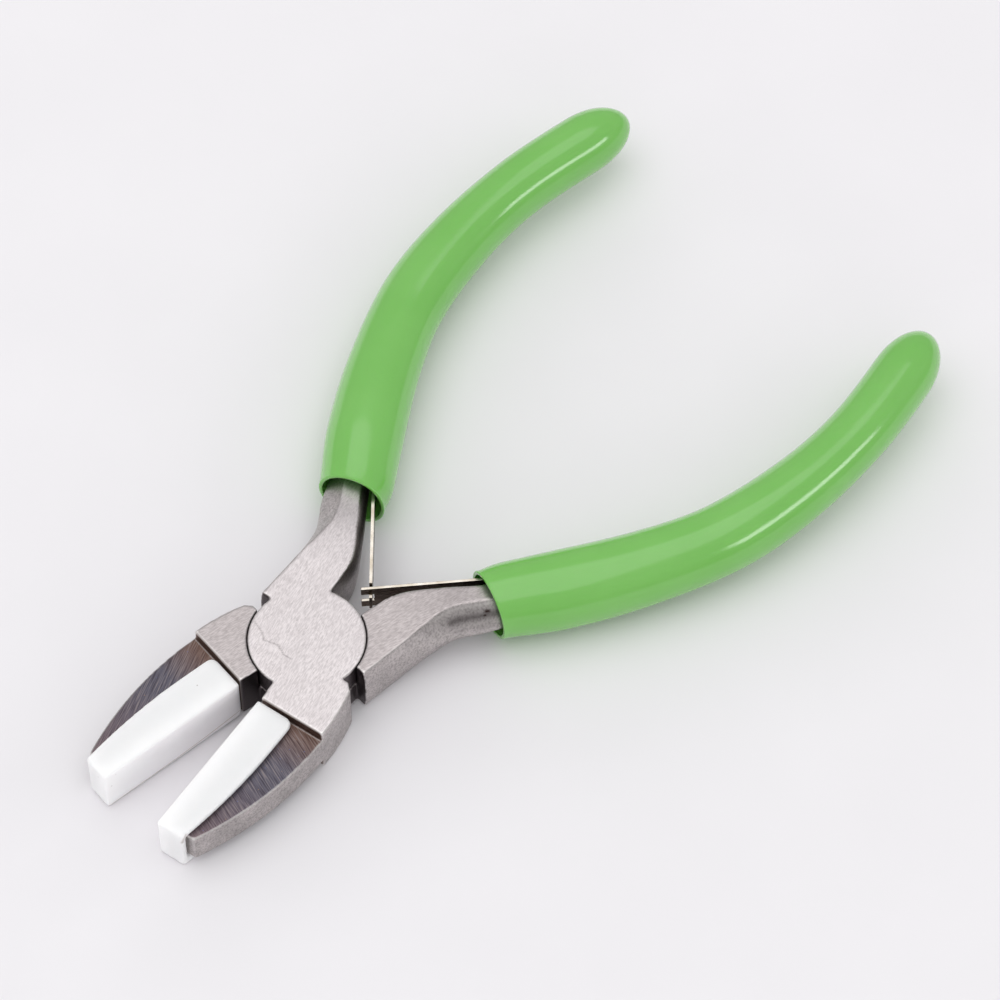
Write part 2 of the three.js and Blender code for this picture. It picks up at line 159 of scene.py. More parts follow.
def new_piece(name, points, faces):
    """A mesh object at the origin. The faces are turned so that the signed volume, the sum of
    a·(b × c) / 6 over its corners, is above zero, which makes them point outwards."""
    corners = np.array([face[:3] for face in faces])
    a, b, c = (points[corners[:, i]] for i in range(3))
    if (a * np.cross(b, c)).sum() < 0:
        faces = [face[::-1] for face in faces]
    mesh = bpy.data.meshes.new(name)
    mesh.from_pydata(points.tolist(), [], faces)
    mesh.update()
    piece = bpy.data.objects.new(name, mesh)
    bpy.context.scene.collection.objects.link(piece)
    return piece


def capped_rings(name, rings):
    """A closed solid over an array of rings (ring, point, xyz), flat at both ends."""
    count, around = rings.shape[:2]
    faces = ring_faces(count, around)
    faces.append(list(range(around))[::-1])
    faces.append(list(range((count - 1) * around, count * around)))
    return new_piece(name, rings.reshape(-1, 3), faces)


def plate(name, outline, bottom, top):
    """An outline in plan carried straight up from one height to another."""
    levels = [np.column_stack([outline, np.full(len(outline), z)]) for z in (bottom, top)]
    return capped_rings(name, np.array(levels))


def upright_cylinder(name, radius, bottom, top):
    """A circle of the given radius about the pivot axis, carried straight up."""
    angle = np.linspace(0, 2 * np.pi, 256, endpoint=False)
    return plate(name, radius * np.column_stack([np.cos(angle), np.sin(angle)]), bottom, top)


def handle_solid(first, last):
    """Rings across the handle: the outer side at -(outer + bulge (1 - |v|^fullness)) and the inner
    side at inner + bulge (1 - v²), with v from -1 to 1 over the height."""
    station = np.linspace(first, last, round(30 * (last - first)) + 1)
    centre, _, inward = handle_frame(station)
    inner, outer, inner_bulge, outer_bulge, height, fullness = (
        handle_size(station, column)[:, None] for column in range(2, 8)
    )
    v = np.linspace(-1, 1, 25)
    outside = -outer - outer_bulge * (1 - np.abs(v) ** fullness)
    inside = inner + inner_bulge * (1 - v**2)
    across = np.hstack([outside, inside[:, ::-1]])
    up = np.hstack([v * height, v[::-1] * height])
    plan = centre[:, None, :] + across[:, :, None] * inward[:, None, :]
    return capped_rings("handle", np.dstack([plan, up]))


def arc_radius(length, drop):
    """Radius of an arc that leaves a straight side square and falls away by drop over a length."""
    return (length**2 + drop**2) / (2 * drop)


def shoulder_outline():
    """Neck, front step, outer side as a quadratic curve, and the cut back corner."""
    t = np.linspace(0, 1, 24)[:, None]
    start = np.array([SHOULDER_WIDTH, -SHOULDER_FRONT])
    pull = np.array([SHOULDER_WIDTH, -(SHOULDER_FRONT + SHOULDER_BACK) / 2])
    end = np.array([SHOULDER_WIDTH - SHOULDER_CORNER, -SHOULDER_BACK - SHOULDER_CORNER])
    side = (1 - t) ** 2 * start + 2 * t * (1 - t) * pull + t**2 * end
    inside = 0.6 * DISC_RADIUS
    neck = [(0, -inside), (NECK_CLEARANCE / 2, -DISC_RADIUS), (NECK_CLEARANCE, -SHOULDER_FRONT)]
    back = [(SHOULDER_WIDTH - 2 * SHOULDER_CORNER, -SHOULDER_BACK), (inside, -SHOULDER_BACK)]
    return np.vstack([neck, side, back])


def blade_outline(grow):
    """Straight inner edge, square tip and an outer side on one arc, drawn larger by grow."""
    curve = arc_radius(BLADE_TIP - SHOULDER_FRONT, SHOULDER_WIDTH - BLADE_TIP_WIDTH)
    radius = curve + grow
    tip = BLADE_TIP + grow
    angle = np.linspace(-np.arcsin((tip - SHOULDER_FRONT) / radius), 0, 48)
    side = np.column_stack([
        SHOULDER_WIDTH - curve + radius * np.cos(angle),
        -SHOULDER_FRONT + radius * np.sin(angle),
    ])
    back = SHOULDER_FRONT - 2
    inner = [(BLADE_INNER - grow, -back), (BLADE_INNER - grow, -tip)]
    return np.vstack([inner, side, [(SHOULDER_WIDTH + grow, -back)]])


def worked_surface(base, steps, voxel, smoothing):
    """The skin of a solid after joining and cutting others, in small even quads, because ground,
    milled and forged faces meet here in edges that no single grid follows. Returns its points,
    normals and faces, and its edges for work that needs neighbours."""
    for operation, other in steps:
        change = base.modifiers.new(operation, "BOOLEAN")
        change.operation = operation
        change.object = other
        change.solver = "EXACT"
    remesh = base.modifiers.new("even quads", "REMESH")
    remesh.mode = "VOXEL"
    remesh.voxel_size = voxel
    smooth = base.modifiers.new("eased edges", "SMOOTH")
    smooth.factor = 0.5
    smooth.iterations = smoothing
    depsgraph = bpy.context.evaluated_depsgraph_get()
    mesh = bpy.data.meshes.new_from_object(base.evaluated_get(depsgraph))
    for used in [base] + [other for _, other in steps]:
        bpy.data.objects.remove(used)
    points = np.empty(len(mesh.vertices) * 3)
    normals = np.empty(len(mesh.vertices) * 3)
    edges = np.empty(len(mesh.edges) * 2, int)
    mesh.vertices.foreach_get("co", points)
    mesh.vertices.foreach_get("normal", normals)
    mesh.edges.foreach_get("vertices", edges)
    faces = [list(face.vertices) for face in mesh.polygons]
    bpy.data.meshes.remove(mesh)
    return points.reshape(-1, 3), normals.reshape(-1, 3), faces, edges.reshape(-1, 2)


def neighbour_mean(values, edges):
    """The mean of each point's neighbours, for one value or one row of values a point."""
    total = np.zeros_like(values)
    count = np.zeros(len(values))
    for here, there in (edges.T, edges.T[::-1]):
        np.add.at(total, here, values[there])
        np.add.at(count, here, 1)
    return total / (count if values.ndim == 1 else count[:, None])


def edge_sharpness(points, normals, edges, voxel):
    """How far each point stands proud of its neighbours, in voxels: above 0 on outer edges and
    below 0 in corners. Averaged three times over neighbours."""
    proud = ((points - neighbour_mean(points, edges)) * normals).sum(1) / voxel
    for _ in range(3):
        proud = (proud + neighbour_mean(proud, edges)) / 2
    return proud


def to_rest(points, body):
    """From the shut half's own frame in mm to its rest place in metres: turned out by the half
    opening, and for the lower half turned over about Y."""
    c, s = np.cos(HALF_OPENING), np.sin(HALF_OPENING)
    turned = points @ np.array([[c, s, 0], [-s, c, 0], [0, 0, 1]])
    if body == "lower":
        turned = turned * (-1, 1, -1)
    return (turned + pivot) * MM


def set_attribute(piece, name, values):
    """Stores one number a point for the material to read."""
    attribute = piece.data.attributes.new(name, "FLOAT", "POINT")
    attribute.data.foreach_set("value", np.asarray(values, np.float32))


def shade_smooth(piece):
    """Shades over the edges between faces."""
    piece.data.polygons.foreach_set("use_smooth", [True] * len(piece.data.polygons))


def linear(hex_colour):
    """sRGB hex to linear RGBA: c / 12.92 up to 0.04045, else ((c + 0.055) / 1.055)^2.4."""
    c = np.array([int(hex_colour[i:i + 2], 16) for i in (0, 2, 4)]) / 255
    return (*np.where(c <= 0.04045, c / 12.92, ((c + 0.055) / 1.055) ** 2.4).tolist(), 1)


def add(tree, kind, inputs=(), **settings):
    """Adds a shader node. inputs gives its sockets values, or outputs to link to them."""
    made = tree.nodes.new("ShaderNode" + kind)
    for name, value in settings.items():
        setattr(made, name, value)
    for socket, value in dict(inputs).items():
        if isinstance(value, bpy.types.NodeSocket):
            tree.links.new(value, made.inputs[socket])
        else:
            made.inputs[socket].default_value = value
    return made


def new_material(name):
    """A material with its principled shader, ready for inputs."""
    material = bpy.data.materials.new(name)
    material.use_nodes = True
    return material, material.node_tree, material.node_tree.nodes["Principled BSDF"]


def blend_colour(tree, share, first, second):
    """The colour output of a mix of two colours or outputs."""
    return add(tree, "Mix", {0: share, 6: first, 7: second}, data_type="RGBA").outputs[2]


def ranged(tree, value, low, high, to_low=0.0, to_high=1.0):
    """The output of a clamped linear remap."""
    names = ("Value", "From Min", "From Max", "To Min", "To Max")
    return add(tree, "MapRange", dict(zip(names, (value, low, high, to_low, to_high)))).outputs[0]


def ground_flat(tree, place, line_angle, grain, light, dark):
    """The colour and the line pattern of a flat ground with a fine wheel: warm grey lines along
    the half, softly streaked every 2 mm or so, with dull dots. Real lines are a few hundredths
    of a millimetre apart; these are drawn 0.15 mm apart and 0.8 mm long so that they show."""
    turned = add(tree, "Mapping", {"Vector": place, "Rotation": (0, 0, line_angle)}).outputs[0]
    drawn_out = add(tree, "Mapping", {"Vector": turned, "Scale": (1, 0.17, 1)}).outputs[0]
    lines = add(tree, "TexNoise", {"Vector": drawn_out, "Scale": 7500, "Detail": 3}).outputs[0]
    broad = add(tree, "Mapping", {"Vector": turned, "Scale": (1, 0.3, 1)}).outputs[0]
    streaks = add(tree, "TexNoise", {"Vector": broad, "Scale": 600, "Detail": 4}).outputs[0]
    colour = blend_colour(tree, ranged(tree, lines, 0.38, 0.62), linear(dark), linear(light))
    soft_streaks = ranged(tree, streaks, 0.45, 0.7, 0.0, 0.35)
    colour = blend_colour(tree, soft_streaks, colour, linear(dark))
    dotted = ranged(tree, grain, 0.58, 0.68, 0.0, 0.2)
    return blend_colour(tree, dotted, colour, linear("8f8785")), lines


def milled_bed(tree, place, stroke_angle, reach, cloud, pits):
    """The colour and the stroke pattern of a milled bed: heat-tinted brown by the shoulder and
    bluish further out, with light and dark cutter strokes about 0.15 mm apart across it and a
    few flecks."""
    across = add(tree, "Mapping", {"Vector": place, "Rotation": (0, 0, stroke_angle)}).outputs[0]
    stroked = add(tree, "Mapping", {"Vector": across, "Scale": (0.06, 1, 1)}).outputs[0]
    strokes = add(tree, "TexNoise", {"Vector": stroked, "Scale": 6500, "Detail": 4}).outputs[0]
    colour = blend_colour(tree, ranged(tree, reach, 0, 0.3), linear("775f55"), linear("625f6a"))
    colour = blend_colour(tree, ranged(tree, reach, 0.45, 1), colour, linear("716267"))
    scratched = ranged(tree, strokes, 0.52, 0.7, 0, 0.6)
    colour = blend_colour(tree, scratched, colour, linear("978c8a"))
    sunk = ranged(tree, strokes, 0.48, 0.32, 0, 0.6)
    colour = blend_colour(tree, sunk, colour, linear("332b2f"))
    fleck_tint = blend_colour(
        tree, ranged(tree, cloud, 0.48, 0.52), linear("b08c6a"), linear("6a7ab8"))
    fleck = ranged(tree, pits, 0.05, 0.09, 0.35, 0.0)
    return blend_colour(tree, fleck, colour, fleck_tint), strokes


def forged_skin(tree, cloud, grain, pits):
    """The colour of a forged and tumbled side: satin grey in soft 3 mm clouds, speckled with
    grain of 0.3 mm and dotted with scale pits about 1 mm apart."""
    colour = blend_colour(
        tree, ranged(tree, cloud, 0.35, 0.65), linear("b7b1b0"), linear("ccc5c4"))
    speckle = ranged(tree, grain, 0.3, 0.58, 0.45, 0.0)
    colour = blend_colour(tree, speckle, colour, linear("5f5856"))
    pit_share = ranged(tree, pits, 0.04, 0.09, 0.6, 0.0)
    return blend_colour(tree, pit_share, colour, linear("4a4341"))


def half_steel(name, line_angle, stroke_angle, ground_light, ground_dark):
    """Carbon steel: ground flats, milled beds and forged sides, each where its attribute says.
    Outer edges get a painted highlight, and inner corners and the joint's walls get painted
    shade, nearly black on the walls. The painted sheen is a painted highlight ridge above 0 and a
    band of painted dark reflection below 0, and scars are brown."""
    material, tree, shader = new_material(name)
    place = add(tree, "TexCoord").outputs["Object"]
    ground, milled, edge, wall, reach, scar, painted_sheen = (
        add(tree, "Attribute", attribute_name=attribute).outputs["Fac"]
        for attribute in ("ground", "milled", "edge", "wall", "reach", "scar", "painted_sheen")
    )
    cloud = add(tree, "TexNoise", {"Vector": place, "Scale": 330, "Detail": 3}).outputs[0]
    grain = add(tree, "TexNoise", {"Vector": place, "Scale": 3200, "Detail": 3}).outputs[0]
    pits = add(tree, "TexVoronoi", {"Vector": place, "Scale": 900}).outputs["Distance"]
    ground_colour, lines = ground_flat(tree, place, line_angle, grain, ground_light, ground_dark)
    milled_colour, strokes = milled_bed(tree, place, stroke_angle, reach, cloud, pits)

    colour = blend_colour(tree, ground, forged_skin(tree, cloud, grain, pits), ground_colour)
    for share, tint in (
        (milled, milled_colour),
        # Painted highlight along the outer edges.
        (ranged(tree, edge, 0.05, 0.14, 0.0, 0.85), linear("efebe9")),
        # Painted shade on the joint's walls and the handles' inner sides.
        (wall, linear("5a5254")),
        # Painted shade in the inner corners.
        (ranged(tree, edge, -0.04, -0.16, 0.0, 0.9), linear("231f1f")),
        # Painted sheen: painted dark reflection below 0 and a painted highlight ridge above 0.
        (ranged(tree, painted_sheen, 0, -1), linear("4c4646")),
        (painted_sheen, linear("e6e1df")),
        (scar, linear("382825")),
    ):
        colour = blend_colour(tree, share, colour, tint)

    line_rough = ranged(tree, lines, 0.3, 0.7, 0.44, 0.34)
    forged_rough = ranged(tree, grain, 0.3, 0.7, 0.46, 0.32)
    finish = add(tree, "Mix", {0: ground, 2: forged_rough, 3: line_rough}).outputs[0]
    finish = add(tree, "Mix", {0: milled, 2: finish, 3: 0.45}).outputs[0]

    line_relief = add(tree, "Math", {0: lines, 1: ground}, operation="MULTIPLY").outputs[0]
    stroke_relief = add(tree, "Math", {0: strokes, 1: milled}, operation="MULTIPLY").outputs[0]
    pit_depth = ranged(tree, pits, 0, 0.25)
    pitted = add(tree, "Math", {0: pit_depth, 1: grain}, operation="ADD").outputs[0]
    forged_only = ranged(tree, ground, 0, 1, 1, 0)
    forged_relief = add(tree, "Math", {0: pitted, 1: forged_only}, operation="MULTIPLY").outputs[0]
    relief = add(tree, "Math", {0: line_relief, 1: forged_relief}, operation="ADD").outputs[0]
    relief = add(tree, "Math", {0: relief, 1: stroke_relief}, operation="ADD").outputs[0]
    bump = add(tree, "Bump", {"Height": relief, "Strength": 0.4, "Distance": 0.00003}).outputs[0]

    shader.inputs["Metallic"].default_value = 1
    tree.links.new(colour, shader.inputs["Base Color"])
    tree.links.new(finish, shader.inputs["Roughness"])
    tree.links.new(bump, shader.inputs["Normal"])
    return material


half_points, half_normals, half_faces, half_edges = worked_surface(
    handle_solid(0, TANG_START_STATION),
    [
        ("UNION", plate("shoulder", shoulder_outline(), -HALF_JOINT, HALF_JOINT)),
        ("UNION", plate("blade", blade_outline(0), -BLADE_HALF_THICKNESS, BLADE_HALF_THICKNESS)),
        ("DIFFERENCE", upright_cylinder("recess", DISC_RADIUS + LAP_HAIRLINE, -20, FIT_GAP / 2)),
        ("UNION", upright_cylinder("disc", DISC_RADIUS, FIT_GAP / 2, HALF_JOINT)),
        ("DIFFERENCE", upright_cylinder("bore", RIVET_BORE_RADIUS, -20, HALF_JOINT - 1)),
    ],
    HALF_VOXEL, HALF_SMOOTHING,
)

# Shares from 0 to 1 for the material to read, from where each point lies and which way it faces:
# flats ground or milled, the step between them, and painted shade on the joint's walls and inner
# sides.
# The edge share drives a painted highlight on outer edges and painted shade in inner corners.
half_edge = edge_sharpness(half_points, half_normals, half_edges, HALF_VOXEL)
flat = eased((np.abs(half_normals[:, 2]) - 0.8) / 0.17)
x, y, z = half_points.T
in_front = y < -SHOULDER_FRONT + 0.2
low = np.abs(z) < BLADE_HALF_THICKNESS + 0.4
step_wall = eased((-half_normals[:, 1] - 0.5) / 0.3) * (y > -12) * in_front
half_milled = np.maximum(np.where(in_front & low, flat, 0), step_wall)
half_ground = np.where(in_front & low, 0, flat)
half_reach = np.clip((-y - SHOULDER_FRONT) / (BLADE_TIP - SHOULDER_FRONT), 0, 1)
upright = np.abs(half_normals[:, 2]) < 0.75
stop_face = (half_normals[:, 1] < -0.6) & (np.abs(y - 2.2) < 0.6)
shoulder_back = (half_normals[:, 1] > 0.5) & (y > -3.4) & (y < 0)
neck_side = (half_normals[:, 0] < -0.6) & (x < 0.8) & (y < -5)
lap_side = (np.abs(np.hypot(x, y) - DISC_RADIUS) < 0.4) & (z < HALF_JOINT - 0.3)
inner_side = (half_normals[:, 0] > 0.5) & (y > 8)
# Painted shade: the walls round the joint, and less of it on the handles' inner sides.
half_wall_shade = (upright & (stop_face | shoulder_back | neck_side | lap_side)).astype(float)
half_wall_shade = (half_wall_shade + neighbour_mean(half_wall_shade, half_edges)) / 2 + 0.3 * inner_side

upper_steel = half_steel(
    "ground_carbon_steel_upper", np.radians(-14.5), np.radians(17), "e1dadb", "cbc4c5")
lower_steel = half_steel(
    "ground_carbon_steel_lower", np.radians(14.5), np.radians(-112), "c8c0c0", "b0a8a8")

# A hair scratch over the upper disc, as a path in the half's own frame in mm.
DISC_SCRATCH = [
    (-7.01, -1.88, 4.15), (-5.35, -2.6, 4.15), (-4.41, -3.43, 4.15),
    (-2.46, -3.01, 4.15), (-0.92, -3.79, 4.15), (0.3, -3.69, 4.15),
]


def scar_depth(points, path, width, depth):
    """How strongly a scratch along a path marks each point: depth · exp(-(distance / width)²)."""
    nearest = np.full(len(points), 9.0)
    for first, second in zip(path[:-1], path[1:]):
        start, run = np.array(first), np.subtract(second, first)
        share = np.clip((points - start) @ run / (run @ run), 0, 1)
        gap = np.linalg.norm(points - start - share[:, None] * run, axis=1)
        nearest = np.minimum(nearest, gap)
    return depth * np.exp(-((nearest / width) ** 2))


def side_path(first, last, share):
    """Points along a handle's outer side at one share of its lower half height."""
    station = np.linspace(first, last, 12)
    centre, _, inward = handle_frame(station)
    _, outer, _, bulge, height, fullness = (
        handle_size(station, column) for column in range(2, 8)
    )
    plan = centre - (outer + bulge * (1 - share**fullness))[:, None] * inward
    return np.column_stack([plan, -share * height])


# Marks in the steel: the scratch, a rust pit low on the lower shank by its sleeve, and on both
# shanks a painted highlight ridge over a band of painted dark reflection.
disc_scratch = scar_depth(half_points, DISC_SCRATCH, 0.08, 0.4)
rust_pit = scar_depth(half_points, side_path(3.9, 3.95, 0.7), 0.26, 1)
rust_pit = np.maximum(rust_pit, scar_depth(half_points, side_path(3.86, 3.88, 0.6), 0.16, 1))
# Painted highlight ridge and painted dark reflection band along the shank sides.
painted_highlight_ridge = scar_depth(half_points, side_path(2.5, 4.1, 0.9), 0.22, 0.34)
painted_reflection_band = scar_depth(half_points, side_path(3.0, 4.2, 0.6), 0.6, 0.66)
half_painted_sheen = painted_highlight_ridge - painted_reflection_band

for body, steel, scar in (
    ("upper", upper_steel, disc_scratch),
    ("lower", lower_steel, rust_pit),
):
    half = new_piece(body + "_forged_half", to_rest(half_points, body), half_faces)
    shade_smooth(half)
    for name, values in (
        ("ground", half_ground), ("milled", half_milled), ("edge", half_edge),
        ("wall", half_wall_shade), ("reach", half_reach), ("scar", scar), ("painted_sheen", half_painted_sheen),
    ):
        set_attribute(half, name, values)
    # The tang is a plain piece of its own, because the sleeve hides all of it.
    tang = handle_solid(TANG_START_STATION, TANG_END_STATION)
    tang.name = body + "_tang"
    tang_points = np.array([vertex.co for vertex in tang.data.vertices])
    tang.data.vertices.foreach_set("co", to_rest(tang_points, body).ravel())
    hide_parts(body + "_half")
    for part in (half, tang):
        part.data.materials.append(steel)
        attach(part, body)


# ---------------------------------------------------------------- pivot rivet
# A plain steel rivet pressed through both discs. Its ends are ground off flush with the flats and
# drawn into them, so that nothing of it shows. It is a turned spool that ends just under the flats.

RIVET_RADIUS = 2.5
RIVET_LAND = 1.1


def turned_spool(name, profile, around):
    """A profile of (radius, height) turned about the pivot axis, with a single point at each
    end on the axis."""
    angle = np.linspace(0, 2 * np.pi, around, endpoint=False)
    radius, height = np.array(profile).T
    rings = np.stack([
        radius[:, None] * np.cos(angle),
        radius[:, None] * np.sin(angle),
        np.repeat(height[:, None], around, 1),
    ], -1)
    points = np.vstack([rings.reshape(-1, 3), [(0, 0, height[0])], [(0, 0, height[-1])]])
    faces = ring_faces(len(profile), around)
    step = (np.arange(around) + 1) % around
    last = (len(profile) - 1) * around
    tip = len(points) - 2
    faces += [[tip, int(b), int(a)] for a, b in zip(range(around), step)]
    faces += [[tip + 1, last + a, last + int(b)] for a, b in zip(range(around), step)]
    return new_piece(name, (points + pivot) * MM, faces)


rivet_end = HALF_JOINT - RIVET_LAND
rivet = turned_spool("pivot_rivet_spool", [
    (RIVET_RADIUS - 0.3, -rivet_end), (RIVET_RADIUS - 0.08, -rivet_end + 0.08),
    (RIVET_RADIUS, -rivet_end + 0.3), (RIVET_RADIUS, -0.4), (RIVET_RADIUS - 0.05, -0.2),
    (RIVET_RADIUS - 0.05, 0.2), (RIVET_RADIUS, 0.4), (RIVET_RADIUS, rivet_end - 0.3),
    (RIVET_RADIUS - 0.08, rivet_end - 0.08), (RIVET_RADIUS - 0.3, rivet_end),
], 64)
shade_smooth(rivet)


def drawn_steel(name, light, dark, roughness):
    """Drawn steel wire, cold headed: satin grey with uneven streaks about 0.5 mm wide."""
    material, tree, shader = new_material(name)
    place = add(tree, "TexCoord").outputs["Object"]
    streak = add(tree, "TexNoise", {"Vector": place, "Scale": 1800, "Detail": 3}).outputs[0]
    share = ranged(tree, streak, 0.35, 0.65)
    colour = blend_colour(tree, share, linear(dark), linear(light))
    finish = ranged(tree, streak, 0.3, 0.7, roughness + 0.08, roughness - 0.05)
    shader.inputs["Metallic"].default_value = 1
    tree.links.new(colour, shader.inputs["Base Color"])
    tree.links.new(finish, shader.inputs["Roughness"])
    return material


rivet_steel = drawn_steel("drawn_rivet_steel", "d6d0cd", "b9b2af", 0.35)
rivet.data.materials.append(rivet_steel)
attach(rivet, "upper")
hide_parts("pivot_rivet")


# ---------------------------------------------------------------- nylon jaw pads
# A block of white nylon slipped over each blade, with a pocket open to the outside for the steel.
# It is machined and then broken at its edges by hand, so its corners are soft and a little uneven.

PAD_GRIP = 0.15
PAD_BACK = SHOULDER_FRONT + FIT_GAP
PAD_FRONT = 33
PAD_STRAIGHT = 4.5
PAD_BACK_WIDTH = 5.9
PAD_FRONT_WIDTH = 4.1
PAD_CORNER_RADIUS = 1.1
PAD_HALF_HEIGHT = BLADE_HALF_THICKNESS + FIT_GAP + 1.05
PAD_VOXEL = 0.16
PAD_SMOOTHING = 36

# Where the steel's tip has torn the nylon: a short path down the pad's front outer edge, in mm in
# the half's own frame.
PAD_BURR = [(4.15, -32.2, 3.5), (4.1, -32.6, 2.9), (4.05, -32.8, 2.2)]


def pad_outline():
    """Straight gripping face, square front, an outer side on one arc and a rounded back corner."""
    radius = arc_radius(PAD_FRONT - PAD_BACK - PAD_STRAIGHT, PAD_BACK_WIDTH - PAD_FRONT_WIDTH)
    start = PAD_BACK + PAD_STRAIGHT
    angle = np.linspace(-np.arcsin((PAD_FRONT - start) / radius), 0, 40)
    side = np.column_stack([
        PAD_BACK_WIDTH - radius + radius * np.cos(angle),
        -start + radius * np.sin(angle),
    ])
    turn = np.linspace(0, np.pi / 2, 12)
    corner = np.column_stack([
        PAD_BACK_WIDTH - PAD_CORNER_RADIUS * (1 - np.cos(turn)),
        -PAD_BACK - PAD_CORNER_RADIUS * (1 - np.sin(turn)),
    ])
    return np.vstack([[(PAD_GRIP, -PAD_BACK), (PAD_GRIP, -PAD_FRONT)], side, corner])


def machined_nylon():
    """White nylon 6, sawn and sanded: bright, satin and slightly translucent, in faint 4.5 mm
    clouds, with grain of 0.4 mm in its relief and a few dark specks ground into it. Gripping
    faces are greyer in clouds, more so towards the back, with a thin broken brown line along
    them, and the torn edge by the steel's tip is brown."""
    material, tree, shader = new_material("machined_white_nylon")
    place = add(tree, "TexCoord").outputs["Object"]
    grip_grey = add(tree, "Attribute", attribute_name="grip_grey").outputs["Fac"]
    seam = add(tree, "Attribute", attribute_name="seam").outputs["Fac"]
    burr = add(tree, "Attribute", attribute_name="burr").outputs["Fac"]
    cloud = add(tree, "TexNoise", {"Vector": place, "Scale": 220, "Detail": 4}).outputs[0]
    grain = add(tree, "TexNoise", {"Vector": place, "Scale": 2600, "Detail": 3}).outputs[0]
    specks = add(tree, "TexVoronoi", {"Vector": place, "Scale": 420}).outputs["Distance"]
    colour = blend_colour(
        tree, ranged(tree, cloud, 0.3, 0.7), linear("faf8fa"), linear("f7f5f7"))
    # Gripping faces greyer in clouds, more so towards the back.
    greyed = add(tree, "Math", {0: grip_grey, 1: cloud}, operation="MULTIPLY").outputs[0]
    colour = blend_colour(
        tree, ranged(tree, greyed, 0.1, 0.6, 0, 0.3), colour, linear("ddd6d9"))
    brown_line_width = ranged(tree, cloud, 0.35, 0.6, 0.04, 0.13)
    off_line = add(tree, "Math", {0: seam}, operation="ABSOLUTE").outputs[0]
    near = add(tree, "Math", {0: off_line, 1: brown_line_width}, operation="LESS_THAN").outputs[0]
    brown_line = add(tree, "Math", {0: near, 1: 0.55}, operation="MULTIPLY").outputs[0]
    colour = blend_colour(tree, brown_line, colour, linear("a8967f"))
    speck = ranged(tree, specks, 0.035, 0.05, 0.5, 0.0)
    colour = blend_colour(tree, speck, colour, linear("9a8f88"))
    colour = blend_colour(tree, burr, colour, linear("75624f"))
    bump = add(tree, "Bump", {"Height": grain, "Strength": 0.35, "Distance": 0.00002}).outputs[0]
    tree.links.new(colour, shader.inputs["Base Color"])
    tree.links.new(ranged(tree, grain, 0.3, 0.7, 0.5, 0.4), shader.inputs["Roughness"])
    tree.links.new(bump, shader.inputs["Normal"])
    shader.inputs["IOR"].default_value = 1.53
    shader.inputs["Subsurface Weight"].default_value = 0.8
    shader.inputs["Subsurface Radius"].default_value = (1, 0.97, 0.95)
    shader.inputs["Subsurface Scale"].default_value = 0.0025
    return material


pad_points, pad_normals, pad_faces, _ = worked_surface(
    plate("block", pad_outline(), -PAD_HALF_HEIGHT, PAD_HALF_HEIGHT),
    [("DIFFERENCE", plate("pocket", blade_outline(FIT_GAP),
                          -BLADE_HALF_THICKNESS - FIT_GAP, BLADE_HALF_THICKNESS + FIT_GAP))],
    PAD_VOXEL, PAD_SMOOTHING,
)
pad_back_share = np.clip((pad_points[:, 1] + PAD_FRONT) / (PAD_FRONT - PAD_BACK), 0, 1)
grip_face = eased((-pad_normals[:, 0] - 0.6) / 0.3) * (pad_points[:, 0] < 1)
# The gripping faces turn greyer towards the back.
pad_grip_grey = grip_face * (0.25 + 0.75 * pad_back_share)
pad_seam = np.where(
    grip_face > 0.02, PAD_HALF_HEIGHT - 0.35 - 1.1 * pad_back_share**3 - pad_points[:, 2], 9)
pad_burr = scar_depth(pad_points, PAD_BURR, 0.22, 0.6)
nylon = machined_nylon()
for body in ("upper", "lower"):
    pad = new_piece(body + "_nylon_pad", to_rest(pad_points, body), pad_faces)
    shade_smooth(pad)
    for name, values in (("grip_grey", pad_grip_grey), ("seam", pad_seam), ("burr", pad_burr)):
        set_attribute(pad, name, values)
    pad.data.materials.append(nylon)
    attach(pad, body)
    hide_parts(body + "_jaw_pad")


# ---------------------------------------------------------------- leaf springs
# Two strips of hardened spring steel, one riveted along each tang inside its sleeve. The upper
# strip ends in a T-headed hook and the lower in a fork that holds it. They are tempered brown, and
# their sheared edges are bright.

SPRING_THICKNESS = 0.4
SPRING_HALF_WIDTH = 2.125
SPRING_MEET = 12.1
SPRING_MOUTH_OFFSET = 2.65
SPRING_ROOT_OFFSET = 2.25
SPRING_ROOT_STATION = 5.15
SPRING_LEAVES_STATION = 4.6
SPRING_ROOT_STEPS = 30
SPRING_EDGE_BREAK = 0.07
SLOT_HALF_WIDTH = 0.75
NECK_HALF_WIDTH = 0.45
HEAD_HALF_WIDTH = 1.3
TINE_LENGTH = 1.3
HEAD_START = 0.55
HEAD_END = 1.05


def spring_line(past_crossing, steps):
    """The strip's centre line in plan: along the tang inside the sleeve, leaving it smoothly near
    the mouth, and then straight to the crossing of the tips and a little past it. The measure
    counts along the straight stretch, with 0 at the crossing."""
    station = np.linspace(SPRING_ROOT_STATION, MOUTH_STATION, SPRING_ROOT_STEPS)
    centre, _, inward = handle_frame(station)
    share = eased((station - MOUTH_STATION) / (SPRING_LEAVES_STATION - MOUTH_STATION))
    offset = SPRING_MOUTH_OFFSET + (SPRING_ROOT_OFFSET - SPRING_MOUTH_OFFSET) * share
    root = centre + offset[:, None] * inward
    c, s = np.cos(-HALF_OPENING), np.sin(-HALF_OPENING)
    crossing = SPRING_MEET * np.array([-s, c])
    reach = crossing - root[-1]
    length = np.linalg.norm(reach)
    ahead = np.linspace(0, length + past_crossing, steps)[1:, None]
    line = np.vstack([root, root[-1] + ahead * reach / length])
    measure = np.concatenate([np.full(SPRING_ROOT_STEPS, -length), ahead[:, 0] - length])
    return line, measure


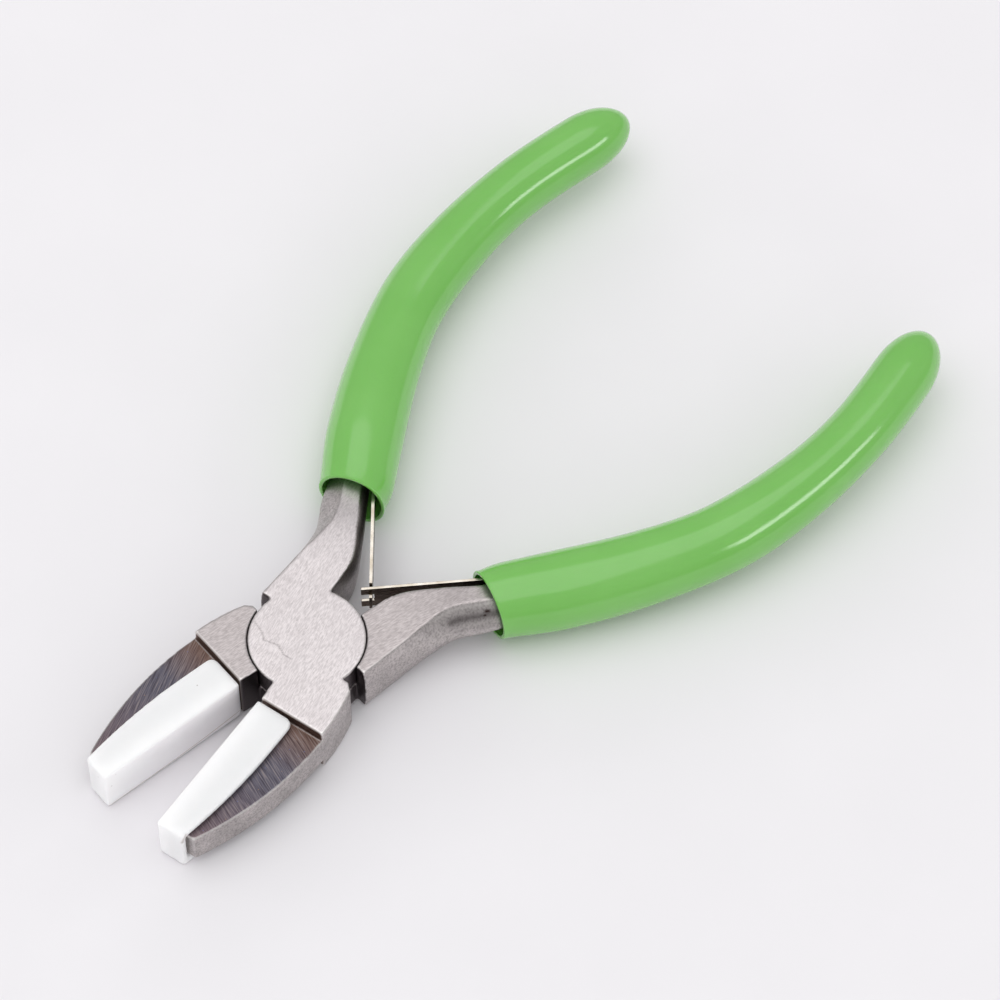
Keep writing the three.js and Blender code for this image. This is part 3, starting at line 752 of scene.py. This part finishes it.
def leaf_spring(name, body, past_crossing, half_width, slot):
    """A strip carried along its line: z runs over half_width(measure) to both sides. Where slot is
    given, the cells within that half width and past the tip's cut are left out. Solidify gives it
    its thickness and Bevel breaks its edges."""
    line, measure = spring_line(past_crossing, 140)
    v = np.linspace(-1, 1, 35)
    up = v * half_width(measure)[:, None]
    points = np.dstack([np.repeat(line[:, None, :], len(v), 1), up]).reshape(-1, 3)
    row, column = np.meshgrid(np.arange(len(line) - 1), np.arange(len(v) - 1), indexing="ij")
    first = row * len(v) + column
    quads = np.stack([first, first + 1, first + len(v) + 1, first + len(v)], -1)
    middle = points[quads].mean(2)[..., 2]
    keep = np.ones(first.shape, bool)
    if slot:
        keep = ~((measure[:-1, None] > -HEAD_START) & (np.abs(middle) < slot))
    mesh = bpy.data.meshes.new(name)
    mesh.from_pydata(to_rest(points, body).tolist(), [], quads[keep].tolist())
    spring = bpy.data.objects.new(name, mesh)
    bpy.context.scene.collection.objects.link(spring)
    wall = spring.modifiers.new("strip thickness", "SOLIDIFY")
    wall.thickness = SPRING_THICKNESS * MM
    wall.offset = 0
    rounding = spring.modifiers.new("broken edges", "BEVEL")
    rounding.width = SPRING_EDGE_BREAK * MM
    rounding.segments = 2
    rounding.limit_method = "ANGLE"
    depsgraph = bpy.context.evaluated_depsgraph_get()
    baked = bpy.data.meshes.new_from_object(spring.evaluated_get(depsgraph))
    spring.modifiers.clear()
    spring.data = baked
    bpy.data.meshes.remove(mesh)
    baked.name = name
    lean = np.empty(len(baked.vertices) * 3)
    baked.vertices.foreach_get("normal", lean)
    set_attribute(spring, "rim", eased((np.abs(lean[2::3]) - 0.2) / 0.3))
    return spring


def strip_width(measure):
    """The same half width all along."""
    return np.full(len(measure), SPRING_HALF_WIDTH)


def hook_width(measure):
    """Full width, then the neck that lies in the fork, then the head across its tines."""
    neck = eased((measure + HEAD_START + 0.15) / 0.15)
    head = eased((measure - HEAD_START + 0.1) / 0.12)
    width = SPRING_HALF_WIDTH + (NECK_HALF_WIDTH - SPRING_HALF_WIDTH) * neck
    return width + (HEAD_HALF_WIDTH - NECK_HALF_WIDTH) * head


def tempered_spring_steel():
    """Spring strip tempered brown, with its sheared rims left bright: dark faces with rolling
    lines about 0.25 mm apart along them, and thin cream lines of light along the edges."""
    material, tree, shader = new_material("tempered_spring_steel")
    place = add(tree, "TexCoord").outputs["Object"]
    rim = add(tree, "Attribute", attribute_name="rim").outputs["Fac"]
    cloud = add(tree, "TexNoise", {"Vector": place, "Scale": 500, "Detail": 4}).outputs[0]
    stretched = add(tree, "Mapping", {"Vector": place, "Scale": (0.1, 0.1, 1)}).outputs[0]
    lines = add(tree, "TexNoise", {"Vector": stretched, "Scale": 4000, "Detail": 2}).outputs[0]
    colour = blend_colour(
        tree, ranged(tree, cloud, 0.35, 0.7), linear("72635a"), linear("54483f"))
    colour = blend_colour(
        tree, ranged(tree, lines, 0.45, 0.7, 0, 0.35), colour, linear("a69a8e"))
    rim_colour = blend_colour(
        tree, ranged(tree, cloud, 0.35, 0.65), linear("efe8dd"), linear("d3c8b8"))
    colour = blend_colour(tree, rim, colour, rim_colour)
    tree.links.new(colour, shader.inputs["Base Color"])
    tree.links.new(ranged(tree, lines, 0.3, 0.7, 0.34, 0.22), shader.inputs["Roughness"])
    shader.inputs["Metallic"].default_value = 1
    return material


spring_steel = tempered_spring_steel()
hook = leaf_spring("hooked_leaf_spring", "upper", HEAD_END, hook_width, None)
fork = leaf_spring("forked_leaf_spring", "lower", TINE_LENGTH, strip_width, SLOT_HALF_WIDTH)
for spring, body, other, node in (
    (hook, "upper", "lower", "hook_spring"),
    (fork, "lower", "upper", "fork_spring"),
):
    spring.data.materials.append(spring_steel)
    line, _ = spring_line(0, 140)
    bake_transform(spring)
    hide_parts(node)


# ---------------------------------------------------------------- spring rivets
# A small round-headed steel rivet through each tang holds the root of its spring. Both lie inside
# the sleeves.

for node in ("hook_spring_rivet", "fork_spring_rivet"):
    frame["nodes"][node].data.materials.clear()
    frame["nodes"][node].data.materials.append(rivet_steel)


# ---------------------------------------------------------------- grip sleeves
# Soft PVC dipped over each tang: a glossy green skin about 1 mm thick, cut off at a slant at the
# mouth, where its edge has rolled a little, and closed in a blunt end.

SLEEVE_WALL = 1.1
MOUTH_SLANT = 0.25
MOUTH_SLANT_END = 5.3
SLEEVE_NOSE_LENGTH = 8
# Station and outer radius.
SLEEVE_RADII = np.array([(4, 5.0), (5, 5.35), (7, 4.85), (9, 4.34), (11, 4.34)])
LIP_WALL = 0.5
LIP_END_STATION = 4.5
MOUTH_PINCH = 0.75
LIP_ROLL = 0.1
MOUTH_STATION_LENGTH = 10
SLEEVE_AROUND = 72


def sleeve_radius(station):
    """Outer radius, eased between the rows of the table."""
    stations, radii = SLEEVE_RADII.T
    before = np.clip(np.searchsorted(stations, station, "right") - 1, 0, len(stations) - 2)
    t = (station - stations[before]) / (stations[before + 1] - stations[before])
    return radii[before] + (radii[before + 1] - radii[before]) * eased(t)


def sleeve_rings(station, radius):
    """Circles square to the handle's line. Near the mouth each point also slides back along the
    line by its distance across times the slant, and the inner side is drawn in towards the
    steel by the pinch times cos(angle)^1.5."""
    centre, along, inward = handle_frame(station)
    slant = MOUTH_SLANT * (1 - eased((station - MOUTH_STATION) / (MOUTH_SLANT_END - MOUTH_STATION)))
    angle = np.linspace(0, 2 * np.pi, SLEEVE_AROUND, endpoint=False)
    near_mouth = eased((LIP_END_STATION - station) / (LIP_END_STATION - MOUTH_STATION)) ** 2
    pinch = MOUTH_PINCH * near_mouth[:, None] * np.clip(np.cos(angle), 0, 1) ** 1.5
    across = (radius[:, None] - pinch) * np.cos(angle)
    back = -across * slant[:, None]
    plan = centre[:, None] + across[..., None] * inward[:, None] + back[..., None] * along[:, None]
    return np.dstack([plan, (radius[:, None] - 0.4 * pinch) * np.sin(angle)])


def dipped_sleeve(name, body):
    """The wall as one closed skin: up the inside from a pole to the mouth, round the rolled lip on
    a half circle, down the outside and over an elliptic end to the outer pole."""
    last_length = np.linalg.norm(HANDLE_STATIONS[-1, :2] - HANDLE_STATIONS[-2, :2])
    nose_start = END_STATION - SLEEVE_NOSE_LENGTH / last_length
    lip_stations = LIP_WALL / 2 / MOUTH_STATION_LENGTH
    body_stations = np.concatenate([
        np.linspace(MOUTH_STATION + lip_stations, LIP_END_STATION, 30, endpoint=False),
        np.linspace(LIP_END_STATION, nose_start, 130),
    ])
    turn = np.linspace(0, np.pi / 2, 18)[1:-1]
    reach = END_STATION - nose_start

    def skin(inset):
        nose = nose_start + (reach - inset / last_length) * np.sin(turn)
        stations = np.concatenate([body_stations, nose])
        level = sleeve_radius(nose_start) - inset
        thin = eased((LIP_END_STATION - body_stations) / (LIP_END_STATION - MOUTH_STATION))
        walls = inset * (1 + (LIP_WALL / SLEEVE_WALL - 1) * thin)
        radii = np.concatenate([sleeve_radius(body_stations) - walls, level * np.cos(turn)])
        return stations, radii

    outer_s, outer_r = skin(0)
    inner_s, inner_r = skin(SLEEVE_WALL)
    half = np.linspace(0, np.pi, 14)[1:-1]
    lip_s = MOUTH_STATION + lip_stations * (1 - np.sin(half))
    middle = sleeve_radius(MOUTH_STATION) - LIP_WALL / 2
    lip_r = middle - (LIP_WALL / 2 + LIP_ROLL * np.sin(half)) * np.cos(half)
    stations = np.concatenate([inner_s[::-1], lip_s, outer_s])
    radii = np.concatenate([inner_r[::-1], lip_r, outer_r])
    rings = sleeve_rings(stations, radii)
    count = len(stations)
    inner_end = END_STATION - SLEEVE_WALL / last_length
    poles = sleeve_rings(np.array([inner_end, float(END_STATION)]), np.zeros(2))[:, 0]
    points = np.vstack([rings.reshape(-1, 3), poles])
    faces = ring_faces(count, SLEEVE_AROUND)
    here = np.arange(SLEEVE_AROUND)
    following = (here + 1) % SLEEVE_AROUND
    last = (count - 1) * SLEEVE_AROUND
    tip = len(points) - 2
    faces += np.stack([np.full_like(here, tip), following, here], -1).tolist()
    faces += np.stack([np.full_like(here, tip + 1), last + here, last + following], -1).tolist()
    return new_piece(name, to_rest(points, body), faces)


def dipped_vinyl():
    """Plasticised PVC, dipped: a saturated, slightly translucent green under a glossy skin that
    whitens it where it faces the light, with soft waves about 11 mm long from the dipping and a
    few specks of dust in it, 6 mm apart."""
    material, tree, shader = new_material("dipped_green_vinyl")
    place = add(tree, "TexCoord").outputs["Object"]
    cloud = add(tree, "TexNoise", {"Vector": place, "Scale": 90, "Detail": 2}).outputs[0]
    fine = add(tree, "TexNoise", {"Vector": place, "Scale": 1500, "Detail": 2}).outputs[0]
    specks = add(tree, "TexVoronoi", {"Vector": place, "Scale": 170}).outputs["Distance"]
    colour = blend_colour(
        tree, ranged(tree, cloud, 0.3, 0.7), linear("70b650"), linear("76ba57"))
    speck = ranged(tree, specks, 0.02, 0.035, 0.55, 0.0)
    colour = blend_colour(tree, speck, colour, linear("3c7a34"))
    waves = add(tree, "Math", {0: cloud, 1: fine}, operation="ADD").outputs[0]
    bump = add(tree, "Bump", {"Height": waves, "Strength": 0.15, "Distance": 0.0001}).outputs[0]
    tree.links.new(colour, shader.inputs["Base Color"])
    tree.links.new(ranged(tree, fine, 0.3, 0.7, 0.17, 0.12), shader.inputs["Roughness"])
    tree.links.new(bump, shader.inputs["Normal"])
    shader.inputs["IOR"].default_value = 1.52
    shader.inputs["Coat Weight"].default_value = 0.6
    shader.inputs["Coat Roughness"].default_value = 0.1
    shader.inputs["Subsurface Weight"].default_value = 0.2
    shader.inputs["Subsurface Radius"].default_value = (0.5, 1, 0.4)
    shader.inputs["Subsurface Scale"].default_value = 0.0015
    return material


vinyl = dipped_vinyl()
for body in ("upper", "lower"):
    sleeve = dipped_sleeve(body + "_dipped_sleeve", body)
    shade_smooth(sleeve)
    sleeve.data.materials.append(vinyl)
    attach(sleeve, body)
    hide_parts(body + "_grip_sleeve")


# ---------------------------------------------------------------- floor, light and camera
# The pliers lie on a matt white sweep, on the bellies of their sleeves and the noses of their pads.
# A big soft box hangs overhead, four low fill boxes stand around, and a strip light to the right
# draws the shine along the sleeves, which are all that it lights. The room is dim.

FLOOR_TILT = 1.36
FLOOR_HEIGHT = -0.55
FLOOR_REACH = 2
FLOOR_LINES = 9
FILL_DISTANCE = 1.2
FILL_HEIGHT = 0.38
CAMERA_AZIMUTH = np.radians(42.477)
CAMERA_ELEVATION = np.radians(57.302)
CAMERA_DISTANCE = 0.6
CAMERA_LENS = 164.16
CAMERA_SENSOR = 36
# How far the camera aims beside the pivot, to its right and upwards, in metres.
AIM_RIGHT = 0.02528
AIM_UP = 0.02028


def floor_sweep():
    """A square grid with a slope along Y, z = height - y tan(tilt)."""
    side = np.linspace(-FLOOR_REACH, FLOOR_REACH, FLOOR_LINES)
    x, y = np.meshgrid(side, side)
    z = FLOOR_HEIGHT * MM - y * np.tan(np.radians(FLOOR_TILT))
    points = np.dstack([x, y, z]).reshape(-1, 3)
    cells = np.arange(FLOOR_LINES - 1)
    first = (cells[:, None] * FLOOR_LINES + cells).ravel()
    following = first + FLOOR_LINES
    quads = np.stack([first, first + 1, following + 1, following], -1)
    mesh = bpy.data.meshes.new("floor")
    mesh.from_pydata(points.tolist(), [], quads.tolist())
    floor = bpy.data.objects.new("floor", mesh)
    bpy.context.scene.collection.objects.link(floor)
    return floor


floor = floor_sweep()
paper, paper_tree, paper_shader = new_material("white_paper_sweep")
paper_place = add(paper_tree, "TexCoord").outputs["Object"]
fibre = add(paper_tree, "TexNoise", {"Vector": paper_place, "Scale": 40, "Detail": 3}).outputs[0]
paper_colour = blend_colour(
    paper_tree, ranged(paper_tree, fibre, 0.3, 0.7), linear("e9e7ea"), linear("ebe9ec"))
paper_tree.links.new(paper_colour, paper_shader.inputs["Base Color"])
paper_shader.inputs["Roughness"].default_value = 0.9
paper_shader.inputs["Specular IOR Level"].default_value = 0.2
floor.data.materials.append(paper)


def soft_box(name, place, aim, width, height, watts):
    """A rectangular area light at a place, turned to face a point."""
    lamp = bpy.data.lights.new(name, "AREA")
    lamp.shape = "RECTANGLE"
    lamp.size = width
    lamp.size_y = height
    lamp.energy = watts
    holder = bpy.data.objects.new(name, lamp)
    holder.location = place
    holder.rotation_euler = (Vector(place) - Vector(aim)).to_track_quat("Z", "Y").to_euler()
    bpy.context.scene.collection.objects.link(holder)
    return holder


soft_box("overhead_box", (-0.05, 0, 0.8), (0, 0.03, 0), 1.0, 1.0, 2.6)
strip = soft_box("side_strip", (0.68, 0.28, 0.34), (0, 0.06, 0), 0.45, 0.14, 0.9)
strip.visible_diffuse = False
lit_by_strip = bpy.data.collections.new("lit_by_strip")
for body in ("upper", "lower"):
    lit_by_strip.objects.link(bpy.data.objects[body + "_dipped_sleeve"])
strip.light_linking.receiver_collection = lit_by_strip
for turn in range(4):
    angle = np.radians(90 * turn + 45)
    place = (FILL_DISTANCE * np.cos(angle), FILL_DISTANCE * np.sin(angle), FILL_HEIGHT)
    fill = soft_box("fill_box", place, (0, 0.03, 0), 1.5, 0.5, 3.0)
    fill.visible_glossy = False

world = bpy.data.worlds.new("dim_room")
world.use_nodes = True
world.node_tree.nodes["Background"].inputs["Color"].default_value = (1, 1, 1, 1)
sky = add(world.node_tree, "TexCoord").outputs["Generated"]
height = add(world.node_tree, "SeparateXYZ", {"Vector": sky}).outputs["Z"]
glow = ranged(world.node_tree, height, -0.1, 1, 0.35, 0.75)
world.node_tree.links.new(glow, world.node_tree.nodes["Background"].inputs["Strength"])
bpy.context.scene.world = world
bpy.context.scene.view_settings.view_transform = "Standard"

ca, sa = np.cos(CAMERA_AZIMUTH), np.sin(CAMERA_AZIMUTH)
ce, se = np.cos(CAMERA_ELEVATION), np.sin(CAMERA_ELEVATION)
right = Vector((ca, sa, 0))
up = Vector((-sa * se, ca * se, ce))
back = Vector((sa * ce, -ca * ce, se))
camera_data = bpy.data.cameras.new("camera")
camera_data.lens = CAMERA_LENS
camera_data.sensor_width = CAMERA_SENSOR
camera = bpy.data.objects.new("camera", camera_data)
aim = Vector(pivot * MM) + AIM_RIGHT * right + AIM_UP * up
facing = Matrix((right, up, back)).transposed().to_4x4()
camera.matrix_world = Matrix.Translation(aim + CAMERA_DISTANCE * back) @ facing
bpy.context.scene.collection.objects.link(camera)
bpy.context.scene.camera = camera
